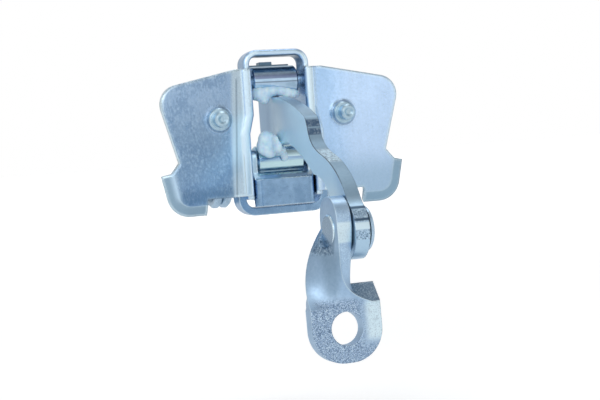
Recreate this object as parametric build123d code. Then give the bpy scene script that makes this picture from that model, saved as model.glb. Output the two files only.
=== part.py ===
from build123d import *
import math
import os

# Frame: X runs along the roller axes, -Y faces out of the door, Z is up. Sizes are in mm.
# Every piece is drawn from the point midway between the studs, where the swept wings cross their axes.
# As saved, the origin lies ahead of that point, on the plane where the door seats against the collars.

# Sheet gauges and running clearances
HOUSING_T = 2.5
YOKE_T = 3.0
CARRIER_T = 2.0
RUNNING = 0.05
SIDE_PLAY = 0.4
TOUCH = 0.05

# Housing channel
WALL_UPPER_IN = 10.7
WALL_LOWER_IN = 12.6
JOGGLE_TOP_Z = 1.0
JOGGLE_BOTTOM_Z = -6.0
WEB_TOP_Z = 25.8
WEB_CORNER_R = 5.5
WALL_BOTTOM_Z = -31.0
WALL_BACK_Y = 25.0
WALL_UPPER_BACK_Y = 18.5
WALL_BACK_TOP_Z = -12.0
WEB_FRONT_Y = 2.6
WEB_BACK_Y = 11.0
WEB_FOOT_Z = 18.4
WEB_BACK_R = 4.5
WEB_NOSE_R = 1.1
RIDGE_W = 4.2
RIDGE_PROUD = 0.9
RIDGE_IN_R = 1.2
RIDGE_OUT_R = 1.4
PAST = 5.0

# Wings
SWEEP_DEG = 6.2
STUD_X = 25.0
WING_TOP_IN_Z = 18.6
WING_TOP_FLAT_X = 17.2
WING_CORNER_X = 48.9
WING_CORNER_Z = 12.1
WING_CORNER_R = 7.5
WING_NOTCH_X = 41.4
WING_NOTCH_Z = -15.2
WING_LIP_LINE_X = 44.6
WING_LIP_TAPER = 2.6
WING_LIP_LINE_TOP_Z = -19.0
WING_LIP_LINE_Z = -31.6
WING_BOTTOM_Z = -29.6
SPRING_GAP_X = 31.5
LIP_REACH = 4.6
LIP_BACK_DEG = 30.0
LIP_CORNER_R = 5.0
LIP_ROOT = 0.02

# Studs
STUD_R = 3.0
STUD_PRESS_R = 3.2
STUD_COLLAR_R = 4.3
STUD_COLLAR_T = 1.4
STUD_OUT = 6.4
STUD_TIP_CHAMFER = 0.7
STUD_DIMPLE_R = 1.8
STUD_DIMPLE_DEPTH = 0.7
STUD_COLLAR_CHAMFER = 0.5
STUD_HEAD_R = 4.6
STUD_HEAD_T = 1.5
STUD_HEAD_CHAMFER = 0.5
SEAT_R = 5.0
SEAT_PROUD = 0.6
SEAT_CLEAR = 0.2

# Rollers
ROLLER_R = 6.0
ROLLER_PIN_R = 3.0
ROLLER_Y = 10.0
UPPER_ROLLER_Z = 13.8
LOWER_ROLLER_Z = -16.9
UPPER_ROLLER_LEN = 18.0
LOWER_ROLLER_LEN = 18.6
ROLLER_CHAMFER = 0.5
PIN_HEAD_R = 4.3
PIN_HEAD_T = 1.5
PIN_HEAD_CHAMFER = 0.6

# Yoke
YOKE_FRONT_Y = 4.2
YOKE_LEG_BACK_Y = 16.2
YOKE_BAR_BACK_Y = 12.0
YOKE_TOP_Z = 18.4
YOKE_BOTTOM_Z = -37.4
YOKE_CORNER_R = 6.5
YOKE_TOP_R = 4.5
YOKE_NARROW_Z = -17.0

# Roller carrier
CARRIER_HALF = WALL_LOWER_IN - SIDE_PLAY
CARRIER_FRONT_Y = 1.0
CARRIER_WALL_TOP_Z = -23.6
CARRIER_WALL_BOTTOM_Z = -34.0
CARRIER_CHEEK_BOTTOM_Z = -31.4
CARRIER_TAIL_Y = 30.0
CARRIER_TAIL_TOP_Z = -22.8
CARRIER_EAR_R = 4.6
CARRIER_EAR_FRONT_Y = 3.2
CARRIER_EAR_CORNER_R = 3.0
CARRIER_BEND_R = 2.6
CARRIER_CHEEK_SLOPE = 0.6

# Carrier pivot pin and torsion springs
PIVOT_Y = 20.0
PIVOT_Z = -26.8
PIVOT_PIN_R = 3.0
PIVOT_PIN_HALF = 28.2
WIRE_R = 1.75
WIRE_SIDES = 8
WIRE_LAP = 0.4
COIL_MEAN_R = 5.75
COIL_PITCH = 3.6
COIL_TURNS = 2
COIL_OUTER_X = 25.7
SPRING_TOUCH = 0.05
HOOK_Y = 28.0
HOOK_IN_X = 10.6

# Check arm, laid out by angle and radius about the centre of its travel
ARM_T = 5.0
TRAVEL_Z = -97.7
ROLLER_GAP = 0.1
ARM_CREST_R = UPPER_ROLLER_Z - ROLLER_R - TRAVEL_Z - ROLLER_GAP
ARM_HEEL_R = LOWER_ROLLER_Z + ROLLER_R - TRAVEL_Z + ROLLER_GAP
ARM_BELLY_LIFT = 3.4
ARM_REAR_DEG = -7.6
ARM_CREST_START_DEG = -3.5
ARM_HEEL_END_DEG = 5.0
ARM_BELLY_START_DEG = 14.0
ARM_BELLY_END_DEG = 33.0
ARM_CREST_END_DEG = 23.5
ARM_STEP_DEG = 27.2
ARM_STEP_DROP = 4.4
ARM_NECK_RISE_DEG = 38.0
ARM_NECK_RISE_DROP = 2.8
ARM_BROW_DEG = 48.6
ARM_BROW_DROP = 0.2
ARM_NECK_UNDER_DEG = 40.5
ARM_NECK_UNDER_LIFT = 7.4
ARM_EYE_R = 9.9
ARM_EYE_TOP_DEG = 128.0
ARM_EYE_BACK_DEG = 16.0
STOP_TOP_Z = 22.0
STOP_GAP = 0.3
STOP_W = 5.6
STOP_TAPER = 0.6
STOP_HEAD_HALF = 9.2
STOP_HEAD_T = 2.5
STOP_HEAD_BELOW = 1.2
STOP_HEAD_H = 10.0

# Pivot of the end bracket
RIVET_Y = -66.5
RIVET_Z = -40.0
RIVET_SHANK_R = 4.0
RIVET_HEAD_R = 7.5
RIVET_HEAD_T = 2.7
RIVET_HEAD_CHAMFER = 0.6
RIVET_GROOVE_R = 6.9
RIVET_GROOVE_W = 0.35
RIVET_GROOVE_IN = 0.95
RIVET_TAIL_R = 5.5
RIVET_TAIL_DEPTH = 1.5
RIVET_TAIL_PROUD = 0.6
RIVET_TAIL_CHAMFER = 0.4
WASHER_T = 0.5
WASHER_R = 7.2

# End bracket
STRAP_T = 5.0
EAR_W = 16.0
EAR_TOP = 11.4
EAR_BOTTOM = -1.0
TWIST_END = 25.0
FLANGE_W = 24.4
FLANGE_BOTTOM = 43.2
FLANGE_CORNER_R = 11.0
SHOULDER_TOP = 17.8
SHOULDER_FRONT = 24.0
BOLT_HOLE_R = 5.5
BOLT_HOLE_DROP = 32.0
HANG_DEG = 4.0
TWIST_SLICES = 9
TWIST_REAR_POWER = 2.0
TWIST_NOSE_POWER = 6.0
TWIST_NOSE_BACK_POWER = 3.0


def box(x0, x1, y0, y1, z0, z1):
    """A box between two opposite corners."""
    size = (x1 - x0, y1 - y0, z1 - z0)
    middle = ((x0 + x1) / 2, (y0 + y1) / 2, (z0 + z1) / 2)
    return Pos(*middle) * Box(*size)


def rod(radius, x0, x1, y, z):
    """A cylinder along X."""
    return Pos((x0 + x1) / 2, y, z) * Rot(0, 90, 0) * Cylinder(radius, x1 - x0)


def post(radius, y0, y1, x, z):
    """A cylinder along Y."""
    return Pos(x, (y0 + y1) / 2, z) * Rot(90, 0, 0) * Cylinder(radius, y1 - y0)


def across(face_points, x0, x1):
    """A prism along X from points given as (y, z)."""
    wire = Polyline(*[(y, z) for y, z in face_points], close=True)
    return Pos(x0, 0, 0) * extrude(Plane.YZ * make_face(wire), x1 - x0, dir=(1, 0, 0))


def along_y(outline, y0, y1):
    """A prism along Y from points given as (x, z)."""
    wire = Wire.make_polygon([(x, y0, z) for x, z in outline], close=True)
    return extrude(Face(wire), y1 - y0, dir=(0, 1, 0))


def save(node, part):
    """Move one node from the wing plane to the seating plane and write it as a STEP file."""
    ahead = SEAT_PROUD + STUD_COLLAR_T + SEAT_CLEAR
    export_step(Pos(0, ahead, 0) * part, os.path.join("parts", node + ".step"))


def wall_x(z, offset):
    """Distance of the channel wall from the middle at height z, offset outward from its inner face."""
    if z >= JOGGLE_TOP_Z:
        return WALL_UPPER_IN + offset
    if z <= JOGGLE_BOTTOM_Z:
        return WALL_LOWER_IN + offset
    share = (JOGGLE_TOP_Z - z) / (JOGGLE_TOP_Z - JOGGLE_BOTTOM_Z)
    return WALL_UPPER_IN + share * (WALL_LOWER_IN - WALL_UPPER_IN) + offset


def channel_outline(offset, top, bottom):
    """Right half of the channel's outline at an offset from its inner face, from bottom to top."""
    steps = [bottom, JOGGLE_BOTTOM_Z, JOGGLE_TOP_Z, top]
    return [(wall_x(z, offset), z) for z in steps]


def channel_block(offset, top, bottom, y0, y1, corner):
    """The solid inside the channel's outline at an offset, with rounded top corners."""
    right = channel_outline(offset, top, bottom)
    left = [(-x, z) for x, z in reversed(right)]
    block = along_y(right + left, y0, y1)
    if corner:
        top_edges = block.edges().filter_by(Axis.Y).group_by(Axis.Z)[-1]
        block = fillet(top_edges, corner)
    return block


def make_wing():
    """The right wing, swept forward about the stud line, with its bent lip."""
    inner = WALL_UPPER_IN
    outline = [
        (inner, WING_TOP_IN_Z),
        (WING_TOP_FLAT_X, WING_TOP_IN_Z),
        (WING_CORNER_X, WING_CORNER_Z),
        (WING_NOTCH_X, WING_NOTCH_Z),
        (WING_LIP_LINE_X, WING_LIP_LINE_TOP_Z),
        (WING_LIP_LINE_X - WING_LIP_TAPER, WING_LIP_LINE_Z),
        (SPRING_GAP_X, WING_LIP_LINE_Z),
        (SPRING_GAP_X, WING_BOTTOM_Z),
        (inner, WING_BOTTOM_Z),
    ]
    plate = along_y(outline, 0, HOUSING_T)
    uprights = plate.edges().filter_by(Axis.Y)
    shoulder = [e for e in uprights if abs(e.center().Z - WING_CORNER_Z) < TOUCH]
    plate = fillet(shoulder, WING_CORNER_R)
    corner = [
        e
        for e in plate.edges().filter_by(Axis.Y)
        if abs(e.center().Z - WING_LIP_LINE_Z) < TOUCH and e.center().X > SPRING_GAP_X + TOUCH
    ]
    plate = fillet(corner, LIP_CORNER_R)
    # The lip follows the bend line down the side, round the corner and along the bottom.
    side_top = Vector(WING_LIP_LINE_X, 0, WING_LIP_LINE_TOP_Z)
    side_end = Vector(WING_LIP_LINE_X - WING_LIP_TAPER, 0, WING_LIP_LINE_Z)
    bottom_end = Vector(SPRING_GAP_X, 0, WING_LIP_LINE_Z)
    path = FilletPolyline(side_top, side_end, bottom_end, radius=LIP_CORNER_R)
    down = (side_end - side_top).normalized()
    outward = Vector(0, 1, 0).cross(down)
    if outward.X < 0:
        outward = outward * -1
    lean = math.radians(LIP_BACK_DEG)
    reach = outward * (LIP_REACH * math.cos(lean)) + Vector(0, LIP_REACH * math.sin(lean), 0)
    thick = Vector(0, HOUSING_T * math.cos(lean), 0) - outward * (HOUSING_T * math.sin(lean))
    root = outward * -LIP_ROOT
    corners = [side_top + root, side_top + reach, side_top + reach + thick, side_top + root + thick]
    lip = sweep(Face(Wire.make_polygon(corners, close=True)), path=path)
    wing = plate + lip
    seat = post(SEAT_R, -SEAT_PROUD, HOUSING_T + SEAT_PROUD, STUD_X, 0)
    swept = Pos(STUD_X, 0, 0) * Rot(0, 0, -SWEEP_DEG) * Pos(-STUD_X, 0, 0) * wing
    return swept + seat


def make_ridge(front):
    """The rounded bead along the bend between the wings and the walls."""
    low = front - RIDGE_PROUD
    high = front + RIDGE_OUT_R
    bead = channel_block(RIDGE_W, WING_TOP_IN_Z, WING_BOTTOM_Z, low, high, 0)
    opening = channel_block(0, WING_TOP_IN_Z + PAST, WING_BOTTOM_Z - PAST, low - PAST, high + PAST, 0)
    bead = bead - opening
    rims = [e for e in bead.edges() if abs(e.center().Y - low) < TOUCH]
    rims = [e for e in rims if WING_BOTTOM_Z + TOUCH < e.center().Z < WING_TOP_IN_Z - TOUCH]
    outer = [e for e in rims if abs(e.center().X) > wall_x(e.center().Z, RIDGE_W / 2)]
    return fillet(outer, RIDGE_OUT_R)


def make_housing():
    """One stamping: the channel, its top web and the two wings."""
    front = (STUD_X - WALL_UPPER_IN) * math.tan(math.radians(SWEEP_DEG))
    far = WALL_BACK_Y + PAST
    wide = WING_CORNER_X
    outer = channel_block(HOUSING_T, WEB_TOP_Z, WALL_BOTTOM_Z, front, WALL_BACK_Y, WEB_CORNER_R)
    inner_top = WEB_TOP_Z - HOUSING_T
    inner = channel_block(0, inner_top, WALL_BOTTOM_Z - PAST, front - PAST, far, WEB_CORNER_R - HOUSING_T)
    channel = outer - inner
    channel = channel - box(-wide, wide, WALL_UPPER_BACK_Y, far, WALL_BACK_TOP_Z, WEB_TOP_Z + PAST)
    channel = channel - box(-wide, wide, WEB_BACK_Y, far, WEB_FOOT_Z, WEB_TOP_Z + PAST)
    channel = channel - box(-wide, wide, front - PAST, WEB_FRONT_Y, WING_TOP_IN_Z, WEB_TOP_Z + PAST)
    round_y = WEB_BACK_Y - WEB_BACK_R
    round_z = WEB_TOP_Z - WEB_BACK_R
    corner = box(-wide, wide, round_y, far, round_z, WEB_TOP_Z + PAST)
    channel = channel - (corner - rod(WEB_BACK_R, -wide, wide, round_y, round_z))
    wing = make_wing()
    housing = channel + wing + mirror(wing, about=Plane.YZ) + make_ridge(front)
    clear_top = inner_top - WEB_CORNER_R
    room = channel_block(0, clear_top, WALL_BOTTOM_Z - PAST, -PAST, WALL_BACK_Y, 0)
    housing = housing - room
    lip_y = front - RIDGE_PROUD
    bends = [e for e in housing.edges() if abs(e.center().Y - lip_y) < TOUCH]
    bends = [e for e in bends if abs(abs(e.center().X) - wall_x(e.center().Z, 0)) < TOUCH]
    housing = fillet(bends, RIDGE_IN_R)
    noses = [e for e in housing.edges() if abs(e.center().Y - WEB_FRONT_Y) < TOUCH]
    noses = [e for e in noses if e.center().Z > WING_TOP_IN_Z + TOUCH]
    housing = fillet(noses, WEB_NOSE_R)
    for side in (-1, 1):
        housing = housing - post(STUD_PRESS_R, -PAST, PAST, side * STUD_X, 0)
    housing = housing - rod(ROLLER_PIN_R, -wide, wide, ROLLER_Y, UPPER_ROLLER_Z)
    housing = housing - rod(PIVOT_PIN_R, -wide, wide, PIVOT_Y, PIVOT_Z)
    return housing


def make_stud(side):
    """A stud pressed through the wing from behind, with a round head and a dimpled tip."""
    x = side * STUD_X
    front = -SEAT_PROUD
    back = HOUSING_T + SEAT_PROUD
    shank = post(STUD_R, -STUD_OUT, front, x, 0)
    tip = shank.edges().group_by(Axis.Y)[0]
    shank = chamfer(tip, STUD_TIP_CHAMFER)
    dimple = Rot(90, 0, 0) * Cone(STUD_DIMPLE_R / 2, STUD_DIMPLE_R, STUD_DIMPLE_DEPTH)
    shank = shank - Pos(x, -STUD_OUT + STUD_DIMPLE_DEPTH / 2, 0) * dimple
    collar = post(STUD_COLLAR_R, front - STUD_COLLAR_T, front, x, 0)
    collar = chamfer(collar.edges().group_by(Axis.Y)[0], STUD_COLLAR_CHAMFER)
    head = post(STUD_HEAD_R, back, back + STUD_HEAD_T, x, 0)
    head = chamfer(head.edges().group_by(Axis.Y)[-1], STUD_HEAD_CHAMFER)
    return shank + collar + post(STUD_PRESS_R, front, back, x, 0) + head


def make_roller(length, z):
    """A plain steel roller with a running bore."""
    body = rod(ROLLER_R, -length / 2, length / 2, ROLLER_Y, z)
    body = chamfer(body.edges().filter_by(GeomType.CIRCLE), ROLLER_CHAMFER)
    return body - rod(ROLLER_PIN_R + RUNNING, -length, length, ROLLER_Y, z)


def headed_pin(radius, half, y, z):
    """A pin along X with a chamfered head beyond each end."""
    pin = rod(radius, -half - TOUCH, half + TOUCH, y, z)
    for side in (-1, 1):
        near = side * half
        far = side * (half + PIN_HEAD_T)
        head = rod(PIN_HEAD_R, min(near, far), max(near, far), y, z)
        ends = head.edges().filter_by(GeomType.CIRCLE).sort_by(lambda e: abs(e.center().X))
        pin = pin + chamfer(ends[-1:], PIN_HEAD_CHAMFER)
    return pin


def make_upper_pin():
    """The upper roller's pin, headed outside the yoke legs."""
    half = wall_x(UPPER_ROLLER_Z, HOUSING_T + YOKE_T)
    return headed_pin(ROLLER_PIN_R, half, ROLLER_Y, UPPER_ROLLER_Z)


def make_lower_pin():
    """The lower roller's pin, flush in the carrier ears."""
    return rod(ROLLER_PIN_R, -CARRIER_HALF, CARRIER_HALF, ROLLER_Y, LOWER_ROLLER_Z)


def make_yoke():
    """A U-strap that wraps under the carrier and stands up outside both walls."""
    wide = WING_CORNER_X
    front = YOKE_FRONT_Y
    back = YOKE_LEG_BACK_Y
    outer = channel_block(HOUSING_T + YOKE_T, YOKE_TOP_Z, YOKE_BOTTOM_Z, front, back, 0)
    outer = fillet(outer.edges().filter_by(Axis.Y).group_by(Axis.Z)[0], YOKE_CORNER_R)
    floor_z = YOKE_BOTTOM_Z + YOKE_T
    inside = channel_block(HOUSING_T, YOKE_TOP_Z + PAST, floor_z, front - PAST, back + PAST, 0)
    inside = fillet(inside.edges().filter_by(Axis.Y).group_by(Axis.Z)[0], YOKE_CORNER_R - YOKE_T)
    yoke = outer - inside
    yoke = yoke - box(-wide, wide, YOKE_BAR_BACK_Y, back + PAST, YOKE_BOTTOM_Z - PAST, YOKE_NARROW_Z)
    tops = [e for e in yoke.edges().filter_by(Axis.X) if abs(e.center().Z - YOKE_TOP_Z) < TOUCH]
    yoke = fillet(tops, YOKE_TOP_R)
    return yoke - rod(ROLLER_PIN_R, -wide, wide, ROLLER_Y, UPPER_ROLLER_Z)


def make_carrier():
    """The rocking saddle: a front wall folded back into two cheeks that hold the lower roller."""
    half = CARRIER_HALF
    back = CARRIER_FRONT_Y + CARRIER_T
    cheek = [
        (CARRIER_FRONT_Y, CARRIER_WALL_BOTTOM_Z),
        (back, CARRIER_WALL_BOTTOM_Z),
        (back + CARRIER_CHEEK_SLOPE, CARRIER_CHEEK_BOTTOM_Z),
        (CARRIER_TAIL_Y, CARRIER_CHEEK_BOTTOM_Z),
        (CARRIER_TAIL_Y, CARRIER_TAIL_TOP_Z),
        (PIVOT_Y + CARRIER_T, CARRIER_TAIL_TOP_Z),
        (ROLLER_Y + CARRIER_EAR_R, LOWER_ROLLER_Z),
        (ROLLER_Y - CARRIER_EAR_R, LOWER_ROLLER_Z),
        (CARRIER_FRONT_Y + CARRIER_T / 2, CARRIER_WALL_TOP_Z),
        (CARRIER_FRONT_Y, CARRIER_WALL_TOP_Z),
    ]
    ear_top = LOWER_ROLLER_Z + CARRIER_EAR_R
    ear = box(-half, half, CARRIER_EAR_FRONT_Y, ROLLER_Y, CARRIER_WALL_TOP_Z, ear_top)
    ear = fillet(ear.edges().filter_by(Axis.X).group_by(Axis.Z)[-1].sort_by(Axis.Y)[:1], CARRIER_EAR_CORNER_R)
    shell = across(cheek, -half, half) + ear + rod(CARRIER_EAR_R, -half, half, ROLLER_Y, LOWER_ROLLER_Z)
    front = [
        e
        for e in shell.edges().filter_by(Axis.Z)
        if abs(e.center().Y - CARRIER_FRONT_Y) < TOUCH
    ]
    shell = fillet(front, CARRIER_BEND_R)
    inside = half - CARRIER_T
    low = CARRIER_WALL_BOTTOM_Z - PAST
    high = ear_top + PAST
    shell = shell - box(-inside, inside, back, CARRIER_TAIL_Y + PAST, low, high)
    shell = shell - rod(ROLLER_PIN_R, -half - PAST, half + PAST, ROLLER_Y, LOWER_ROLLER_Z)
    return shell - rod(PIVOT_PIN_R + RUNNING, -half - PAST, half + PAST, PIVOT_Y, PIVOT_Z)


def make_pivot_pin():
    """The carrier's pivot pin, long enough to carry both springs."""
    return headed_pin(PIVOT_PIN_R, PIVOT_PIN_HALF, PIVOT_Y, PIVOT_Z)


def make_spring(side):
    """A torsion spring: one leg bears on the wing's back, the other hooks over the carrier's tail."""
    top_z = PIVOT_Z + COIL_MEAN_R
    inner_x = COIL_OUTER_X - COIL_TURNS * COIL_PITCH
    rise = COIL_TURNS * COIL_PITCH
    helix = Helix(COIL_PITCH, rise, COIL_MEAN_R)
    start = helix @ 0
    profile = Plane(start, z_dir=helix % 0) * RegularPolygon(WIRE_R, WIRE_SIDES)
    coil = sweep(profile, path=helix)
    # Stand the coil along X with its first point on top, so that the wire leaves forward and backward.
    coil = Rot(0, -90, 0) * coil
    coil = Pos(COIL_OUTER_X, PIVOT_Y, PIVOT_Z) * coil
    lift = HOUSING_T / math.cos(math.radians(SWEEP_DEG))
    wing_back = lift - (COIL_OUTER_X - STUD_X) * math.tan(math.radians(SWEEP_DEG))
    lead = wing_back + SPRING_TOUCH
    leg_r = WIRE_R * math.cos(math.pi / WIRE_SIDES) - SPRING_TOUCH
    front_leg = post(leg_r, lead, PIVOT_Y + WIRE_LAP, COIL_OUTER_X, top_z)
    front_leg = chamfer(front_leg.edges().group_by(Axis.Y)[0], leg_r / 2)
    hook_leg = post(leg_r, PIVOT_Y - WIRE_LAP, HOOK_Y + WIRE_R, inner_x, top_z)
    hook_leg = chamfer(hook_leg.edges().group_by(Axis.Y)[-1], leg_r / 2)
    hook = rod(leg_r - SPRING_TOUCH, HOOK_IN_X, inner_x, HOOK_Y, top_z)
    spring = coil + front_leg + hook_leg + hook
    if side < 0:
        spring = mirror(spring, about=Plane.YZ)
    return spring


def arm_point(deg, radius):
    """A point (y, z) of the arm, by its angle toward the front and its radius about the travel centre."""
    turn = math.radians(deg)
    return (ROLLER_Y - radius * math.sin(turn), TRAVEL_Z + radius * math.cos(turn))


def eye_point(deg):
    """A point (y, z) on the rim of the arm's eye, by its angle above the backward direction."""
    turn = math.radians(deg)
    return (RIVET_Y + ARM_EYE_R * math.cos(turn), RIVET_Z + ARM_EYE_R * math.sin(turn))


def make_arm():
    """The flat check arm: a cross stop behind the roller, a cam crest, a step, a neck and a round eye."""
    belly_r = ARM_HEEL_R + ARM_BELLY_LIFT
    rear_low = arm_point(ARM_REAR_DEG, ARM_HEEL_R)
    crest_start = arm_point(ARM_CREST_START_DEG, ARM_CREST_R)
    crest_mid = arm_point(ARM_CREST_END_DEG / 2, ARM_CREST_R)
    crest_end = arm_point(ARM_CREST_END_DEG, ARM_CREST_R)
    step = arm_point(ARM_STEP_DEG, ARM_CREST_R - ARM_STEP_DROP)
    rise = arm_point(ARM_NECK_RISE_DEG, ARM_CREST_R - ARM_NECK_RISE_DROP)
    brow = arm_point(ARM_BROW_DEG, ARM_CREST_R - ARM_BROW_DROP)
    crest_turn = math.radians(ARM_CREST_END_DEG)
    crest_way = (-math.cos(crest_turn), -math.sin(crest_turn))
    eye_turn = math.radians(ARM_EYE_TOP_DEG)
    eye_way = (-math.sin(eye_turn), math.cos(eye_turn))
    heel_mid = arm_point(0, ARM_HEEL_R)
    heel_end = arm_point(ARM_HEEL_END_DEG, ARM_HEEL_R)
    belly_start = arm_point(ARM_BELLY_START_DEG, belly_r)
    belly_mid = arm_point((ARM_BELLY_START_DEG + ARM_BELLY_END_DEG) / 2, belly_r)
    belly_end = arm_point(ARM_BELLY_END_DEG, belly_r)
    under = arm_point(ARM_NECK_UNDER_DEG, ARM_HEEL_R + ARM_NECK_UNDER_LIFT)
    eye = (RIVET_Y, RIVET_Z)
    eye_top = eye_point(ARM_EYE_TOP_DEG)
    eye_back = eye_point(ARM_EYE_BACK_DEG)
    stop_front = ROLLER_Y + ROLLER_R + STOP_GAP
    stop_back = stop_front + STOP_W
    edges = [
        ThreePointArc(crest_start, crest_mid, crest_end),
        Spline(crest_end, step, rise, brow, eye_top, tangents=(crest_way, eye_way)),
        Line(eye_top, eye),
        Line(eye, eye_back),
        Spline(eye_back, under, belly_end),
        ThreePointArc(belly_end, belly_mid, belly_start),
        Spline(belly_start, heel_end),
        ThreePointArc(heel_end, heel_mid, rear_low),
        Line(rear_low, (stop_back, UPPER_ROLLER_Z)),
        Line((stop_back, UPPER_ROLLER_Z), (stop_back - STOP_TAPER, STOP_TOP_Z)),
        Line((stop_back - STOP_TAPER, STOP_TOP_Z), (stop_front + STOP_TAPER, STOP_TOP_Z)),
        Line((stop_front + STOP_TAPER, STOP_TOP_Z), (stop_front, UPPER_ROLLER_Z)),
        Line((stop_front, UPPER_ROLLER_Z), crest_start),
    ]
    face = make_face(Wire(edges))
    blade = Pos(-ARM_T / 2, 0, 0) * extrude(Plane.YZ * face, ARM_T, dir=(1, 0, 0))
    head_top = STOP_TOP_Z - STOP_HEAD_BELOW
    head_back = stop_front + STOP_HEAD_T
    head_low = head_top - STOP_HEAD_H
    head = box(-STOP_HEAD_HALF, STOP_HEAD_HALF, stop_front, head_back, head_low, head_top)
    arm = blade + head + rod(ARM_EYE_R, -ARM_T / 2, ARM_T / 2, RIVET_Y, RIVET_Z)
    return arm - rod(RIVET_SHANK_R + RUNNING, -ARM_T, ARM_T, RIVET_Y, RIVET_Z)


EAR_RIGHT_X = -ARM_T / 2 - RUNNING - WASHER_T
EAR_LEFT_X = EAR_RIGHT_X - STRAP_T
STRAP_X = (EAR_LEFT_X + EAR_RIGHT_X) / 2


def twist_section(share):
    """One slice of the twisted strap at a share of the way down: its rear edge swings out to the left
    first, and its front edge turns off to the right last."""
    side = 1 - (1 - share) ** 2
    flange_y = RIVET_Y - STRAP_T / 2
    ear_rear_y = RIVET_Y + EAR_W / 2
    ear_front_y = RIVET_Y - EAR_W / 2
    rear_x = EAR_LEFT_X + side * (STRAP_X - FLANGE_W / 2 - EAR_LEFT_X)
    rear_y = ear_rear_y + share**TWIST_REAR_POWER * (flange_y - ear_rear_y)
    nose_x = EAR_LEFT_X + share**TWIST_NOSE_POWER * (STRAP_X + FLANGE_W / 2 - EAR_LEFT_X)
    nose_y = ear_front_y + share**TWIST_NOSE_BACK_POWER * (flange_y - ear_front_y)
    z = RIVET_Z - EAR_BOTTOM - share * (TWIST_END - EAR_BOTTOM)
    rear = Vector(rear_x, rear_y, z)
    nose = Vector(nose_x, nose_y, z)
    way = (nose - rear).normalized()
    through = Vector(-way.Y, way.X, 0) * STRAP_T
    return Face(Wire.make_polygon([rear, nose, nose + through, rear + through], close=True))


def make_end_bracket():
    """A strap twisted a quarter turn: the ear on the arm, the flange with the bolt hole below."""
    ear = Pos(STRAP_X, RIVET_Y, RIVET_Z) * box(
        -STRAP_T / 2, STRAP_T / 2, -EAR_W / 2, EAR_W / 2, -EAR_BOTTOM, EAR_TOP
    )
    ear = fillet(ear.edges().filter_by(Axis.X).group_by(Axis.Z)[-1], EAR_W / 2 - TOUCH)
    last = TWIST_SLICES - 1
    twist = loft([twist_section(i / last) for i in range(TWIST_SLICES)])
    front = RIVET_Y - STRAP_T / 2
    back = RIVET_Y + STRAP_T / 2
    left = STRAP_X - FLANGE_W / 2
    right = STRAP_X + FLANGE_W / 2
    flange = box(left, right, front, back, RIVET_Z - FLANGE_BOTTOM, RIVET_Z - TWIST_END)
    lower = [e for e in flange.edges().filter_by(Axis.Y) if e.center().Z < RIVET_Z - TWIST_END - TOUCH]
    flange = fillet(lower, min(FLANGE_CORNER_R, FLANGE_W / 2 - TOUCH))
    slope = [
        (front, RIVET_Z - TWIST_END),
        (front, RIVET_Z - SHOULDER_FRONT),
        (back, RIVET_Z - SHOULDER_TOP),
        (back, RIVET_Z - TWIST_END),
    ]
    shoulder = across(slope, STRAP_X, right)
    bracket = ear + twist + flange + shoulder
    hole_z = RIVET_Z - BOLT_HOLE_DROP
    bracket = bracket - post(BOLT_HOLE_R, RIVET_Y - STRAP_T, RIVET_Y + STRAP_T, STRAP_X, hole_z)
    bracket = bracket - rod(RIVET_SHANK_R, EAR_LEFT_X - STRAP_T, EAR_RIGHT_X + STRAP_T, RIVET_Y, RIVET_Z)
    spot_face = rod(RIVET_TAIL_R + TOUCH, EAR_LEFT_X - STRAP_T, EAR_LEFT_X, RIVET_Y, RIVET_Z)
    return hang(bracket - tail_cone() - spot_face)


def tail_cone():
    """The countersink that the rivet's tail fills."""
    cone = Cone(RIVET_TAIL_R, RIVET_SHANK_R, RIVET_TAIL_DEPTH)
    return Pos(EAR_LEFT_X + RIVET_TAIL_DEPTH / 2, RIVET_Y, RIVET_Z) * Rot(0, 90, 0) * cone


def hang(part):
    """Turn a part about the rivet by the angle the bracket hangs at."""
    return Pos(0, RIVET_Y, RIVET_Z) * Rot(-HANG_DEG, 0, 0) * Pos(0, -RIVET_Y, -RIVET_Z) * part


def make_rivet():
    """The pivot rivet: a round head on the arm's side, its tail peened into the ear."""
    head_in = ARM_T / 2 + RUNNING
    shank = rod(RIVET_SHANK_R, EAR_LEFT_X, head_in + RIVET_HEAD_T / 2, RIVET_Y, RIVET_Z)
    head = rod(RIVET_HEAD_R, head_in, head_in + RIVET_HEAD_T, RIVET_Y, RIVET_Z)
    head = chamfer(head.edges().filter_by(GeomType.CIRCLE).sort_by(Axis.X)[-1:], RIVET_HEAD_CHAMFER)
    groove_in = head_in + RIVET_GROOVE_IN
    groove = rod(RIVET_HEAD_R + STRAP_T, groove_in, groove_in + RIVET_GROOVE_W, RIVET_Y, RIVET_Z)
    groove = groove - rod(RIVET_GROOVE_R, head_in, head_in + RIVET_HEAD_T, RIVET_Y, RIVET_Z)
    tail = rod(RIVET_TAIL_R, EAR_LEFT_X - RIVET_TAIL_PROUD, EAR_LEFT_X, RIVET_Y, RIVET_Z)
    tail = chamfer(tail.edges().filter_by(GeomType.CIRCLE).sort_by(Axis.X)[:1], RIVET_TAIL_CHAMFER)
    return shank + (head - groove) + tail_cone() + tail


def make_washer():
    """A thin spacer between the ear and the arm."""
    washer = rod(WASHER_R, EAR_RIGHT_X, EAR_RIGHT_X + WASHER_T, RIVET_Y, RIVET_Z)
    return washer - rod(RIVET_SHANK_R, EAR_LEFT_X, ARM_T, RIVET_Y, RIVET_Z)


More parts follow.
